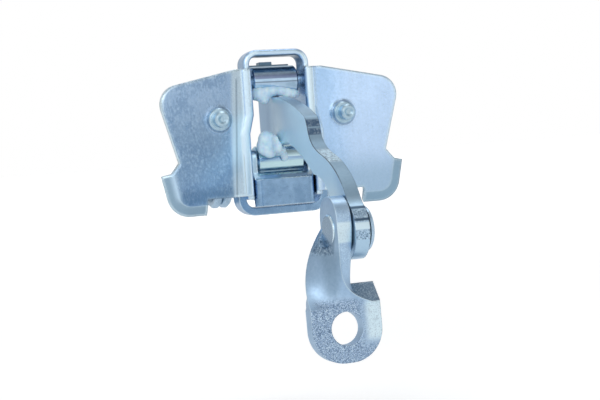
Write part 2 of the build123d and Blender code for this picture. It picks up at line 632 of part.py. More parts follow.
os.makedirs("parts", exist_ok=True)
save("housing_bracket", make_housing())
save("stud_left", make_stud(-1))
save("stud_right", make_stud(1))
save("upper_roller", make_roller(UPPER_ROLLER_LEN, UPPER_ROLLER_Z))
save("upper_roller_pin", make_upper_pin())
save("lower_roller", make_roller(LOWER_ROLLER_LEN, LOWER_ROLLER_Z))
save("lower_roller_pin", make_lower_pin())
save("yoke_strap", make_yoke())
save("roller_carrier", make_carrier())
save("carrier_pivot_pin", make_pivot_pin())
save("spring_left", make_spring(-1))
save("spring_right", make_spring(1))
save("check_arm", make_arm())
save("pivot_rivet", make_rivet())
save("pivot_washer", make_washer())
save("end_bracket", make_end_bracket())
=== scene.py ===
import bmesh
import bpy
import math
from mathutils import Matrix, Vector


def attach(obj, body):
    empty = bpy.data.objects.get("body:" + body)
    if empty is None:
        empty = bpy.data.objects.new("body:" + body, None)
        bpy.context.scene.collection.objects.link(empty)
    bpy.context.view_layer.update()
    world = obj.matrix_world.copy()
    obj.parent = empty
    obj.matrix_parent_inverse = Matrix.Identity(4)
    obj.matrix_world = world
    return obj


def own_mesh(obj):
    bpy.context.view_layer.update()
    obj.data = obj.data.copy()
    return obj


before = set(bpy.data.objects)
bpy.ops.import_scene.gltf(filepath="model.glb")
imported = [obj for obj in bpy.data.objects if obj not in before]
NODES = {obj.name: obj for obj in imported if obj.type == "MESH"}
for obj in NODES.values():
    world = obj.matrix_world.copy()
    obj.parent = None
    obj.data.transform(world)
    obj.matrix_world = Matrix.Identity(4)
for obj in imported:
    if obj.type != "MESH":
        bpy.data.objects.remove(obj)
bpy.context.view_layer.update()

MM = 0.001

# Camera, fitted to the photograph: the view turns and the place of the stud centre in view.
PHOTO_W = 600
FOCAL_PX = 1150
SENSOR_MM = 36
VIEW_YAW = 18.5
VIEW_PITCH = 3.0
VIEW_ROLL = -3.85
VIEW_OFFSET = (6.85, -32.1, 439.5)
STUD_CENTRE = (0.0, 2.2, 0.0)
CLIP_START = 0.01

# Directions that a surface's lean is measured along.
LEFT = (-1.0, 0.0, 0.0)
SIDEWAYS = (1.0, 0.0, 0.0)
FRONT = (0.0, -1.0, 0.0)
UP = (0.0, 0.0, 1.0)
DOWN = (0.0, 0.0, -1.0)

# Samples of a rounded edge, and the mix node's sockets for colours.
EDGE_SAMPLES = 6
COLOR_A = 6
COLOR_B = 7
COLOR_OUT = 2


def link(obj):
    """Puts an object into the scene and returns it."""
    bpy.context.scene.collection.objects.link(obj)
    return obj


class Nodes:
    """A small builder for any node tree."""

    def __init__(self, tree):
        self.tree = tree

    def add(self, kind, **inputs):
        node = self.tree.nodes.new(kind)
        for key, value in inputs.items():
            self.feed(value, node.inputs[key])
        return node

    def feed(self, value, socket):
        if isinstance(value, bpy.types.NodeSocket):
            self.tree.links.new(value, socket)
        else:
            socket.default_value = value

    def math(self, operation, a, b=0.0):
        node = self.add("ShaderNodeMath")
        node.operation = operation
        self.feed(a, node.inputs[0])
        self.feed(b, node.inputs[1])
        return node.outputs["Value"]

    def vector(self, operation, a, b=None):
        node = self.add("ShaderNodeVectorMath")
        node.operation = operation
        self.feed(a, node.inputs[0])
        if b is not None:
            self.feed(b, node.inputs[1])
        return node.outputs

    def ramp(self, fac, stops):
        node = self.add("ShaderNodeValToRGB", Fac=fac)
        ramp = node.color_ramp
        while len(ramp.elements) < len(stops):
            ramp.elements.new(0.5)
        for element, (position, color) in zip(ramp.elements, stops):
            element.position = position
            element.color = (*color, 1.0)
        return node.outputs["Color"]

    def spread(self, fac, low, high, to_low=0.0, to_high=1.0, smooth=True):
        """A value taken from one range to another, eased at both ends unless smooth is off."""
        node = self.add("ShaderNodeMapRange", Value=fac)
        node.interpolation_type = "SMOOTHSTEP" if smooth else "LINEAR"
        for key, value in zip(("From Min", "From Max", "To Min", "To Max"), (low, high, to_low, to_high)):
            node.inputs[key].default_value = value
        return node.outputs["Result"]

    def mix(self, fac, a, b, blend="MIX"):
        node = self.add("ShaderNodeMix")
        node.data_type = "RGBA"
        node.blend_type = blend
        self.feed(fac, node.inputs["Factor"])
        for value, place in ((a, COLOR_A), (b, COLOR_B)):
            self.feed(value if isinstance(value, bpy.types.NodeSocket) else (*value, 1.0), node.inputs[place])
        return node.outputs[COLOR_OUT]


class Shader(Nodes):
    """A builder for one material, with masks by place and by lean to paint marks through."""

    def __init__(self, name):
        self.material = bpy.data.materials.new(name)
        self.material.use_nodes = True
        super().__init__(self.material.node_tree)
        self.principled = self.tree.nodes["Principled BSDF"]
        self.coords = self.add("ShaderNodeTexCoord").outputs["Object"]
        self.axes = self.add("ShaderNodeSeparateXYZ", Vector=self.coords).outputs

    def set(self, **inputs):
        for key, value in inputs.items():
            self.feed(value, self.principled.inputs[key.replace("_", " ")])

    def noise(self, scale, detail=3.0, rough=0.55, stretch=None):
        vector = self.coords if stretch is None else self.vector("MULTIPLY", self.coords, stretch)["Vector"]
        node = self.add("ShaderNodeTexNoise", Vector=vector)
        node.inputs["Scale"].default_value = scale
        node.inputs["Detail"].default_value = detail
        node.inputs["Roughness"].default_value = rough
        return node.outputs["Fac"]

    def both(self, *masks):
        """The product of several masks."""
        result = masks[0]
        for mask in masks[1:]:
            result = self.math("MULTIPLY", result, mask)
        return result

    def opposite(self, mask):
        return self.math("SUBTRACT", 1.0, mask)

    def slant(self, axis, other, slope):
        """A place along one axis, less a share of another, for bands that lean."""
        return self.math("SUBTRACT", self.axes[axis], self.math("MULTIPLY", self.axes[other], slope))

    def distance(self, spot):
        """How far a point lies, seen from the front, from a spot (x, z) in millimetres or its image at -x."""
        across = self.math("SUBTRACT", self.math("ABSOLUTE", self.axes["X"]), spot[0] * MM)
        along = self.math("SUBTRACT", self.axes["Z"], spot[1] * MM)
        return self.math("SQRT", self.math("ADD", self.both(across, across), self.both(along, along)))

    def rise(self, place, start, full):
        """From 0 to 1 between two places in millimetres along an axis, a slant or a distance."""
        value = self.axes[place] if isinstance(place, str) else place
        return self.spread(value, start * MM, full * MM)

    def band(self, place, low, high, soft):
        """1 between two places in millimetres along an axis, a slant or a distance, with a soft edge."""
        rising = self.rise(place, low - soft, low + soft)
        falling = self.rise(place, high + soft, high - soft)
        return self.both(rising, falling)

    def lean(self, direction):
        """The cosine between the surface and a direction."""
        flat = self.add("ShaderNodeNewGeometry").outputs["True Normal"]
        return self.vector("DOT_PRODUCT", flat, direction)["Value"]

    def facing(self, direction, low, high):
        """From 0 to 1 as the surface turns towards a direction."""
        return self.spread(self.lean(direction), low, high)

    def along(self, direction, low, high):
        """From 0 to 1 as the surface turns towards a direction or away from it."""
        return self.spread(self.math("ABSOLUTE", self.lean(direction)), low, high)

    def paint(self, color, tone, *masks, share=1.0):
        """Lays a tone over a colour inside all the masks, covering the colour by a share."""
        return self.mix(self.math("MULTIPLY", self.both(*masks), share), color, tone)

    def bump(self, height, depth, strength=1.0, normal=None):
        """A normal raised by a height map, as deep as given in millimetres."""
        node = self.add("ShaderNodeBump", Height=height)
        node.inputs["Distance"].default_value = depth * MM
        self.feed(strength, node.inputs["Strength"])
        if normal is not None:
            self.feed(normal, node.inputs["Normal"])
        return node.outputs["Normal"]

    def soft_edge(self, radius):
        """A normal that rounds the edges by a radius in millimetres."""
        node = self.add("ShaderNodeBevel")
        node.samples = EDGE_SAMPLES
        node.inputs["Radius"].default_value = radius * MM
        return node.outputs["Normal"]

    def edge_mask(self, rounded, low, high):
        """1 along edges, 0 on the flats, from the rounded normal."""
        flat = self.add("ShaderNodeNewGeometry").outputs["True Normal"]
        return self.spread(self.vector("DOT_PRODUCT", rounded, flat)["Value"], high, low)


# Tones of the zinc, roughly from bright to dark: the plating's own tones, painted highlights and painted
# shade.
# White for painted highlights, and for the white points of the sparkle.
METAL_AND_HIGHLIGHT_WHITE = (0.74, 0.91, 1.0)
FACE_WHITE = (0.80, 0.95, 1.0)
FIELD_BLUE = (0.66, 0.80, 1.0)
PALE_BLUE = (0.60, 0.80, 1.0)
BEND_BLUE = (0.56, 0.76, 0.95)
LEDGE_BLUE = (0.60, 0.80, 0.86)
REAR_BLUE = (0.33, 0.50, 0.70)
VALLEY_BLUE = (0.27, 0.44, 0.66)
WING_BLUE = (0.21, 0.36, 0.55)
PATCH_BLUE = (0.20, 0.35, 0.57)
RING_BLUE = (0.26, 0.38, 0.58)
FLANGE_BLUE = (0.27, 0.38, 0.57)
CORNER_BLUE = (0.26, 0.42, 0.56)
LIP_GREY = (0.27, 0.40, 0.51)
TWIST_GREY = (0.24, 0.37, 0.52)
TAIL_GREY = (0.24, 0.36, 0.49)
NECK_GREY = (0.17, 0.26, 0.34)
POCKET_GREY = (0.16, 0.25, 0.36)
HOLLOW_GREY = (0.16, 0.25, 0.34)
ARRIS_GREY = (0.16, 0.24, 0.33)
HEM_GREY = (0.14, 0.25, 0.38)
SHOULDER_GREY = (0.12, 0.18, 0.25)
# Dark tone for pits in the sparkle, and for painted shade in the groove and round the stud seats.
PIT_AND_SHADE_TONE = (0.10, 0.17, 0.27)
SHADE_TONE = (0.07, 0.12, 0.16)
RING_DARK = (0.07, 0.12, 0.19)
SCUFF_DARK = (0.06, 0.11, 0.20)
LINE_DARK = (0.03, 0.05, 0.08)

# The plating's pattern: how its three noises share the tone, and what the tone sets.
FINE_SHARE = 0.5
STREAK_SHARE = 0.25
CLOUD_SHARE = 0.25
STREAK_SCALE = 0.5
STREAK_STRETCH = (1.0, 1.0, 0.16)
CLOUD_SCALE = 90.0
TONE_ENDS = (0.34, 0.66)
GLOSS_ENDS = (0.3, 0.7)
GLOSS_SWING = 0.05
# Lean of the rounded normal over which edges take the painted edge tone.
PAINTED_EDGE_LEAN = (0.80, 0.985)


def zinc(name, dark, light, rough, grain=1000.0, edge=0.3, edge_tone=METAL_AND_HIGHLIGHT_WHITE, soft=0.4, grit=0.012,
         marks=None):
    """Blue-white zinc plating: fine grain, faint upright streaks, edges painted in the edge tone (a painted
    highlight when it is white, painted shade when it is dark) and the part's own marks.
    """
    s = Shader(name)
    fine = s.noise(grain, detail=3.0, rough=0.6)
    streak = s.noise(grain * STREAK_SCALE, detail=2.0, rough=0.5, stretch=STREAK_STRETCH)
    cloud = s.noise(CLOUD_SCALE, detail=2.0, rough=0.5)
    tone = s.math("ADD", s.math("MULTIPLY", fine, FINE_SHARE), s.math("MULTIPLY", streak, STREAK_SHARE))
    tone = s.math("ADD", tone, s.math("MULTIPLY", cloud, CLOUD_SHARE))
    color = s.ramp(tone, list(zip(TONE_ENDS, (dark, light))))
    rounded = s.soft_edge(soft)
    # Painted highlight along the edges in the edge tone; on the arm the tone is dark, a painted shade.
    color = s.paint(color, edge_tone, s.edge_mask(rounded, *PAINTED_EDGE_LEAN), share=edge)
    gloss = s.spread(tone, *GLOSS_ENDS, rough + GLOSS_SWING, rough - GLOSS_SWING)
    normal = s.bump(fine, grit, normal=rounded)
    if marks is not None:
        color, gloss, normal = marks(s, color, gloss, normal)
    s.set(Base_Color=color, Metallic=1.0, Roughness=gloss, Normal=normal)
    return s.material


# Ends of the noise that make a dark pit and a white point.
PIT_ENDS = (0.50, 0.36)
POINT_ENDS = (0.52, 0.64)


def speckle(s, color, normal, mask, scale, pits, points, lift):
    """Adds rough sparkle inside a mask: dark pits, white points and a coarse grain, lifted in millimetres."""
    speck = s.noise(scale, detail=2.0, rough=0.75)
    color = s.paint(color, PIT_AND_SHADE_TONE, mask, s.spread(speck, *PIT_ENDS), share=pits)
    color = s.paint(color, METAL_AND_HIGHLIGHT_WHITE, mask, s.spread(speck, *POINT_ENDS), share=points)
    return color, s.bump(speck, lift, strength=mask, normal=normal)


# Marks are placed in millimetres. Three numbers are the low end, the high end and the soft edge of a band.
# Two numbers are where a mark starts and where it is full. Leans are cosines.

# The stamping, across (x), up (z) and along slants that follow its leaning bends.
FRONT_LEAN = (0.80, 0.97)
PLATE_LEAN = (0.93, 0.975)
RIM_LEAN = (0.6, 0.3)
UNDER_LEAN = (0.4, 0.9)
WALL_LEAN = (0.7, 0.95)
RIDGE_SLOPE = 0.065
LEFT_RIDGE = (-19.8, -9.0, 1.0)
RIGHT_RIDGE = (10.0, 14.2, 1.4)
VALLEY = (15.0, 20.5, 1.8)
FIELD = (20.0, 30.0)
GROOVE = (-18.2, -17.5, 0.3)
GROOVE_HEIGHT = (-30.0, 15.0, 1.0)
LEFT_WING = (-15.0, -16.0)
RIGHT_WING = (15.0, 16.0)
LIP_HEIGHT = (-13.0, -15.0)
BEND_ROUND = 2.2
BEND_EDGE = (0.93, 0.998)
STUD_SPOT = (25.0, 0.0)
STUD_CLEAR = (6.0, 8.0)
STUD_SEAT = (4.1, 4.9, 0.3)
BAR_HEIGHT = (22.0, 30.0, 0.6)
BAR_UNDER = (20.0, 30.0, 0.6)
CHANNEL = (-13.5, 13.5, 0.2)
LEFT_PLATE = (-20.0, -22.0)
LEFT_FADE = (12.0, -8.0)
HEM = (-31.0, -25.5, 2.0)
LIP_SLOPE = -0.2
LIP_BEND = (-49.2, -47.2, 1.3)
LIP_BEND_HEIGHT = (-29.0, -10.0, 2.0)
RIGHT_PLATE = (16.0, 20.0)
RIGHT_FADE = (-12.0, -26.0)
MOTTLE_SCALE = 1250.0
MOTTLE_STRETCH = (1.0, 1.0, 0.6)
MOTTLE_PALE = (0.48, 0.66)
PATCH_SCALE = 120.0
PATCH_DEEP = (1.06, 0.80)


def stamping_marks(s, color, gloss, normal):
    """Painted highlights on the bent ridges beside the opening, the rims and the top bar's front; painted
    light over the right wing's outer field; painted shade in the valley, the groove, under the bar and in the
    channel; a mottled left wing.
    """
    front = s.facing(FRONT, *FRONT_LEAN)
    leaning = s.slant("X", "Z", RIDGE_SLOPE)
    # Painted highlights on the bent ridges, painted shade in the valley beside the right ridge, painted light
    # over the right wing's outer field and painted shade in the groove.
    color = s.paint(color, METAL_AND_HIGHLIGHT_WHITE, front, s.band(leaning, *LEFT_RIDGE), share=0.75)
    color = s.paint(color, VALLEY_BLUE, front, s.band("X", *VALLEY), share=0.22)
    color = s.paint(color, METAL_AND_HIGHLIGHT_WHITE, front, s.band("X", *RIGHT_RIDGE), share=0.95)
    color = s.paint(color, FIELD_BLUE, front, s.rise("X", *FIELD), share=0.40)
    color = s.paint(color, PIT_AND_SHADE_TONE, front, s.band(leaning, *GROOVE), s.band("Z", *GROOVE_HEIGHT), share=0.45)
    color = rim_marks(s, color)
    # Painted highlight on the top bar's front, painted shade under the bar and on the channel's walls.
    color = s.paint(color, METAL_AND_HIGHLIGHT_WHITE, front, s.band("Z", *BAR_HEIGHT), share=0.6)
    color = s.paint(color, SHADE_TONE, s.facing(DOWN, *UNDER_LEAN), s.band("Z", *BAR_UNDER), share=0.8)
    color = s.paint(color, SHADE_TONE, s.along(SIDEWAYS, *WALL_LEAN), s.band("X", *CHANNEL), share=0.25)
    color = wing_marks(s, color)
    return color, gloss, normal


def both_wings(s):
    return s.math("MAXIMUM", s.rise("X", *LEFT_WING), s.rise("X", *RIGHT_WING))


def rim_marks(s, color):
    """The wings' cut rims and bends with painted highlights, which keep clear of the studs, and their lips
    with painted shade.
    """
    wings = both_wings(s)
    plate = s.facing(FRONT, *PLATE_LEAN)
    # Painted highlight on the cut rims, painted shade on the lips.
    color = s.paint(color, METAL_AND_HIGHLIGHT_WHITE, wings, s.along(FRONT, *RIM_LEAN), share=0.9)
    color = s.paint(color, LIP_GREY, wings, s.opposite(plate), s.rise("Z", *LIP_HEIGHT), share=0.9)
    clear = s.rise(s.distance(STUD_SPOT), *STUD_CLEAR)
    # Painted highlight along the bends.
    bends = s.edge_mask(s.soft_edge(BEND_ROUND), *BEND_EDGE)
    return s.paint(color, METAL_AND_HIGHLIGHT_WHITE, wings, clear, bends, share=0.95)


def wing_marks(s, color):
    """The left wing's painted shade, darker towards the bottom, its mottle and dark hem, a painted shadow
    ring round the stud seats, a painted highlight along the lip's bend and painted shade in the right wing's
    lower outer corner.
    """
    left = s.both(s.facing(FRONT, *PLATE_LEAN), s.rise("X", *LEFT_PLATE))
    # Painted shade on the left wing, darker towards the bottom.
    color = s.paint(color, WING_BLUE, left, s.rise("Z", *LEFT_FADE), share=0.62)
    mottle = s.noise(MOTTLE_SCALE, detail=3.0, rough=0.7, stretch=MOTTLE_STRETCH)
    color = s.paint(color, PALE_BLUE, left, s.spread(mottle, *MOTTLE_PALE), share=0.38)
    patches = s.math("ADD", mottle, s.noise(PATCH_SCALE, detail=3.0, rough=0.6))
    color = s.paint(color, PATCH_BLUE, left, s.spread(patches, *PATCH_DEEP), share=0.5)
    # Painted shadow ring round each stud seat.
    color = s.paint(color, PIT_AND_SHADE_TONE, both_wings(s), s.band(s.distance(STUD_SPOT), *STUD_SEAT), share=0.5)
    color = s.paint(color, HEM_GREY, left, s.band("Z", *HEM), share=0.45)
    # Painted highlight along the lip's bend.
    bend = s.band(s.slant("X", "Z", LIP_SLOPE), *LIP_BEND)
    color = s.paint(color, BEND_BLUE, bend, s.band("Z", *LIP_BEND_HEIGHT), share=0.9)
    # Painted shade on the right wing's outer part, darker towards the bottom.
    return s.paint(color, CORNER_BLUE, s.rise("X", *RIGHT_PLATE), s.rise("Z", *RIGHT_FADE), share=0.55)


# The strap and the carrier.
CHEEK_LEAN = (0.75, 0.95)
CHEEK_GAP = (-9.6, 9.6, 0.2)
CHEEK_HEIGHT = (-23.0, 10.0, 0.5)
LEDGE_LEAN = (0.6, 0.9)
LEDGE_HEIGHT = (-27.0, -17.0, 0.5)


def strap_marks(s, color, gloss, normal):
    """Painted highlights on the front edges of the carrier's cheeks and on the ledge over its front wall."""
    cheeks = s.opposite(s.band("X", *CHEEK_GAP))
    front = s.facing(FRONT, *CHEEK_LEAN)
    # Painted highlights on the cheeks' front edges and on the ledge.
    color = s.paint(color, METAL_AND_HIGHLIGHT_WHITE, front, cheeks, s.band("Z", *CHEEK_HEIGHT), share=0.7)
    color = s.paint(color, LEDGE_BLUE, s.facing(UP, *LEDGE_LEAN), s.band("Z", *LEDGE_HEIGHT), share=0.8)
    return color, gloss, normal


# The arm: its faces look sideways, and its edge strip looks every other way. It runs along y.
STRIP_LEAN = (0.5, 0.25)
ARM_FACE_LEAN = (0.8, 0.98)
ARM_FACE = (-60.0, 4.0, 6.0)
FAR = (-20.0, -34.0)
FAR_HEIGHT = (-29.5, 10.0, 1.0)
FAR_DULL = 0.18
SCUFF = (-37.0, -28.0, 0.3)
SCUFF_HEIGHTS = ((-5.1, -2.6, 0.3), (-8.0, -5.7, 0.3))
SCUFF_SPECKLE = dict(scale=1700.0, pits=0.7, points=0.35, lift=0.12)
SHINE = (-52.5, -40.4, 1.2)
SHINE_SPECKLE = dict(scale=1300.0, pits=0.75, points=1.0, lift=0.20)
EYE = (-80.0, -56.0, 0.5)
EYE_UPPER = (-37.0, -32.9, 0.25)
EYE_UPPER_SPECKLE = dict(scale=2100.0, pits=0.7, points=0.7, lift=0.10)
EYE_LOWER = (-42.8, -39.6, 0.25)
EYE_LOWER_SPECKLE = dict(scale=2100.0, pits=0.9, points=0.6, lift=0.10)
EYE_LINES = ((-32.9, -32.1, 0.2), (-36.7, -35.9, 0.2))
EYE_GLEAM = (-39.5, -37.2, 0.3)
ARRIS = (-3.0, -2.15, 0.12)
ARRIS_ALONG = (-62.0, -33.0, 4.0)
ARRIS_HEIGHT = (-30.0, 10.0, 1.0)
STOP = (14.0, 16.0)
STOP_HEIGHT = (10.0, 40.0, 1.5)
REAR = (8.0, 12.0)
REAR_HEIGHT = (-30.0, 9.0, 1.0)


def arm_marks(s, color, gloss, normal):
    """Rubbed patches on the arm's edge: scuffs on the step, a bright patch on the neck, rings at the eye;
    painted light on the left face and painted shade on the far strip, the stop and the rear.
    """
    strip = s.along(SIDEWAYS, *STRIP_LEAN)
    # Painted light on the arm's left face.
    color = s.paint(color, FACE_WHITE, s.facing(LEFT, *ARM_FACE_LEAN), s.band("Y", *ARM_FACE), share=0.75)
    # Painted shade on the far part of the edge strip.
    far = s.both(strip, s.rise("Y", *FAR), s.band("Z", *FAR_HEIGHT))
    color = s.paint(color, NECK_GREY, far, share=0.58)
    gloss = s.math("ADD", gloss, s.math("MULTIPLY", far, FAR_DULL))
    for height in SCUFF_HEIGHTS:
        scuff = s.both(strip, s.band("Y", *SCUFF), s.band("Z", *height))
        color = s.paint(color, SCUFF_DARK, scuff, share=0.85)
        color, normal = speckle(s, color, normal, scuff, **SCUFF_SPECKLE)
    shine = s.both(strip, s.band("Y", *SHINE))
    color = s.paint(color, METAL_AND_HIGHLIGHT_WHITE, shine, share=0.6)
    color, normal = speckle(s, color, normal, shine, **SHINE_SPECKLE)
    eye = s.both(strip, s.band("Y", *EYE))
    for height, sparkle in ((EYE_UPPER, EYE_UPPER_SPECKLE), (EYE_LOWER, EYE_LOWER_SPECKLE)):
        ring = s.both(eye, s.band("Z", *height))
        color = s.paint(color, RING_BLUE, ring, share=0.25)
        color, normal = speckle(s, color, normal, ring, **sparkle)
    for height in EYE_LINES:
        color = s.paint(color, RING_DARK, eye, s.band("Z", *height), share=0.95)
    color = s.paint(color, METAL_AND_HIGHLIGHT_WHITE, eye, s.band("Z", *EYE_GLEAM), share=0.9)
    arris = s.both(strip, s.band("X", *ARRIS), s.band("Y", *ARRIS_ALONG), s.band("Z", *ARRIS_HEIGHT))
    color = s.paint(color, LINE_DARK, arris, share=0.85)
    # Painted shade on the stop and on the arm's rear part.
    color = s.paint(color, SHADE_TONE, s.rise("Y", *STOP), s.band("Z", *STOP_HEIGHT), share=0.75)
    color = s.paint(color, REAR_BLUE, s.rise("Y", *REAR), s.band("Z", *REAR_HEIGHT), share=0.8)
    return color, gloss, normal


# The end bracket: the flange below, the twist, and the ear beside the arm's eye.
BRACKET_LEAN = (0.75, 0.9)
TWIST_LEAN = (0.35, 0.8)
FLANGE_TOP = (-60.8, -63.8)
FLANGE_LEFT = (3.5, -3.0)
FLANGE_FOOT = (-75.0, -80.0)
FLANGE_SHINE = 0.16
FLANGE_SPECKLE = dict(scale=2600.0, pits=0.9, points=0.7, lift=0.16)
SHOULDER_LEAN = (0.3, 0.6)
SHOULDER = (-4.0, 9.0, 0.5)
SHOULDER_HEIGHT = (-68.0, -54.0, 0.5)
SHOULDER_SPECKLE = dict(scale=1800.0, pits=0.5, points=0.35, lift=0.10)
TWIST = (0.0, -6.0)
TWIST_HEIGHT = (-64.0, -48.0, 3.0)
TWIST_DULL = 0.09
HOLLOW = (-11.5, -8.0, 1.2)
HOLLOW_HEIGHT = (-61.0, -46.0, 2.0)
POCKET = (-13.0, -8.2, 0.2)
POCKET_ALONG = (-70.0, -56.0, 0.5)
POCKET_HEIGHT = (-47.0, -40.0, 0.5)
EAR_BACK = (-8.6, -9.6)
EAR_BACK_HEIGHT = (-47.5, -38.5, 1.0)
EAR_BACK_SPECKLE = dict(scale=1300.0, pits=0.9, points=0.35, lift=0.12)
EAR_EDGE = (-8.2, -2.9, 0.1)
EAR_EDGE_HEIGHT = (-52.0, -31.0, 2.0)
EAR_EDGE_SPECKLE = dict(scale=2400.0, pits=0.18, points=0.4, lift=0.04)
EAR_GLEAM_HEIGHT = (-43.4, -36.8, 0.5)
FLANGE_RIGHT = (1.5, 9.0, 1.5)
FLANGE_RIGHT_HEIGHT = (-76.0, -58.0, 1.5)
FLANGE_RIGHT_SPECKLE = dict(scale=2000.0, pits=0.35, points=0.5, lift=0.08)


def bracket_marks(s, color, gloss, normal):
    """Sparkling rough zones on the flange and the twist, painted shade on left-facing surfaces, in the hollow
    and in the pocket, and painted highlights across the ear's front edge and on the flange's right side.
    """
    front = s.facing(FRONT, *BRACKET_LEAN)
    zone = s.math("MAXIMUM", s.rise("X", *FLANGE_LEFT), s.rise("Z", *FLANGE_FOOT))
    flange = s.both(front, s.rise("Z", *FLANGE_TOP), zone)
    # Painted shade on the bracket's left-facing surfaces.
    color = s.paint(color, TWIST_GREY, s.facing(LEFT, *TWIST_LEAN), share=0.36)
    color = s.paint(color, FLANGE_BLUE, flange, share=0.7)
    color, normal = speckle(s, color, normal, flange, **FLANGE_SPECKLE)
    gloss = s.math("SUBTRACT", gloss, s.math("MULTIPLY", flange, FLANGE_SHINE))
    shoulder = s.both(s.facing(UP, *SHOULDER_LEAN), s.band("Z", *SHOULDER_HEIGHT), s.band("X", *SHOULDER))
    color = s.paint(color, SHOULDER_GREY, shoulder, share=0.65)
    color, normal = speckle(s, color, normal, shoulder, **SHOULDER_SPECKLE)
    twist = s.both(s.rise("X", *TWIST), s.band("Z", *TWIST_HEIGHT))
    gloss = s.math("ADD", gloss, s.math("MULTIPLY", twist, TWIST_DULL))
    # Painted shade in the twist's hollow and in the pocket by the rivet tail.
    color = s.paint(color, HOLLOW_GREY, s.band("X", *HOLLOW), s.band("Z", *HOLLOW_HEIGHT), share=0.4)
    pocket = s.both(s.band("X", *POCKET), s.band("Z", *POCKET_HEIGHT), s.band("Y", *POCKET_ALONG))
    color = s.paint(color, POCKET_GREY, pocket, share=0.6)
    back = s.both(s.band("Z", *EAR_BACK_HEIGHT), s.rise("X", *EAR_BACK))
    color, normal = speckle(s, color, normal, back, **EAR_BACK_SPECKLE)
    # Painted highlight across the ear's front edge.
    edge = s.both(front, s.band("X", *EAR_EDGE))
    color = s.paint(color, METAL_AND_HIGHLIGHT_WHITE, edge, s.band("Z", *EAR_GLEAM_HEIGHT))
    worn = s.both(edge, s.band("Z", *EAR_EDGE_HEIGHT))
    color, normal = speckle(s, color, normal, worn, **EAR_EDGE_SPECKLE)
    # Painted highlight on the flange's right side, with sparkle.
    right = s.both(front, s.band("X", *FLANGE_RIGHT), s.band("Z", *FLANGE_RIGHT_HEIGHT))
    color = s.paint(color, METAL_AND_HIGHLIGHT_WHITE, right, share=0.95)
    color, normal = speckle(s, color, normal, right, **FLANGE_RIGHT_SPECKLE)
    return color, gloss, normal


# The rivet, along its own axis (x).
RIVET_LINES = ((2.4, 2.9, 0.1), (3.4, 3.95, 0.1))
RIVET_TAIL = (-9.5, -8.0, 0.1)
RIVET_BEVEL_LEAN = (0.95, 0.8)


def rivet_marks(s, color, gloss, normal):
    """Painted shade as dark lines in the head's groove and where the head meets the arm, a grey tail and a
    painted highlight as a bright rim round it.
    """
    # Painted shade in the lines.
    for line in RIVET_LINES:
        color = s.paint(color, SHADE_TONE, s.band("X", *line), share=0.85)
    tail = s.band("X", *RIVET_TAIL)
    color = s.paint(color, TAIL_GREY, tail, share=0.85)
    # Painted highlight on the tail's bevel.
    color = s.paint(color, METAL_AND_HIGHLIGHT_WHITE, tail, s.along(SIDEWAYS, *RIVET_BEVEL_LEAN))
    return color, gloss, normal


# The turned steel's pattern, and how softly and how strongly its bands are laid on.
FILM_SCALE = 220.0
STEEL_ENDS = (0.35, 0.65)
STEEL_ROUND = 0.3
STEEL_LIFT = 0.006
STEEL_SMOOTHER = 0.05
STEEL_DULLER = 0.08
BAND_SOFT = 0.03
BAND_SHARE = 0.75


def steel(name, dark, light, rough, streak=(1.0, 1.0, 1.0), scale=500.0, bands=()):
    """Turned steel with a thin film of grease: faint streaks, and painted reflection bands by how far a
    surface looks up.
    """
    s = Shader(name)
    lines = s.noise(scale, detail=3.0, rough=0.6, stretch=streak)
    cloud = s.noise(FILM_SCALE, detail=3.0, rough=0.55)
    tone = s.math("MULTIPLY", s.math("ADD", lines, cloud), 0.5)
    color = s.ramp(tone, list(zip(STEEL_ENDS, (dark, light))))
    # Painted reflection bands by lean upwards.
    for low, high, band_tone in bands:
        above = s.facing(UP, low - BAND_SOFT, low + BAND_SOFT)
        below = s.facing(UP, high + BAND_SOFT, high - BAND_SOFT)
        color = s.paint(color, band_tone, above, below, share=BAND_SHARE)
    gloss = s.spread(cloud, *GLOSS_ENDS, rough - STEEL_SMOOTHER, rough + STEEL_DULLER)
    normal = s.bump(lines, STEEL_LIFT, normal=s.soft_edge(STEEL_ROUND))
    s.set(Base_Color=color, Metallic=1.0, Roughness=gloss, Normal=normal)
    return s.material


GREASE_CLOUD = 420.0
GREASE_ENDS = (0.3, 0.7)
GREASE_TONES = ((0.50, 0.72, 0.92), (0.70, 0.89, 1.0))
GREASE_GRAIN = 900.0
GREASE_LIFT = 0.12


def grease_material():
    """Pale blue-white grease, slightly clear."""
    s = Shader("grease")
    cloud = s.noise(GREASE_CLOUD, detail=3.0, rough=0.5)
    s.set(Base_Color=s.ramp(cloud, list(zip(GREASE_ENDS, GREASE_TONES))))
    s.set(Roughness=0.26, IOR=1.46, Subsurface_Weight=0.2, Subsurface_Scale=0.001)
    s.set(Normal=s.bump(s.noise(GREASE_GRAIN), GREASE_LIFT))
    return s.material


STAMPING = zinc("zinc_stamping", dark=(0.38, 0.57, 0.82), light=(0.50, 0.70, 0.97), rough=0.24, soft=1.6,
                marks=stamping_marks)
STRAP = zinc("zinc_strap", dark=(0.18, 0.31, 0.48), light=(0.33, 0.51, 0.73), rough=0.26, grain=260.0,
             edge=1.0, soft=0.9, grit=0.002, marks=strap_marks)
ARM = zinc("zinc_arm", dark=(0.44, 0.63, 0.80), light=(0.50, 0.69, 0.86), rough=0.36, edge=0.9,
           edge_tone=ARRIS_GREY, soft=0.5, marks=arm_marks)
BRACKET = zinc("zinc_bracket", dark=(0.38, 0.55, 0.74), light=(0.50, 0.68, 0.88), rough=0.40, edge=0.8,
               soft=0.7, marks=bracket_marks)
FASTENER = zinc("zinc_fastener", dark=(0.40, 0.57, 0.69), light=(0.54, 0.71, 0.82), rough=0.34)
RIVET = zinc("zinc_rivet", dark=(0.40, 0.57, 0.74), light=(0.54, 0.71, 0.87), rough=0.28, marks=rivet_marks)
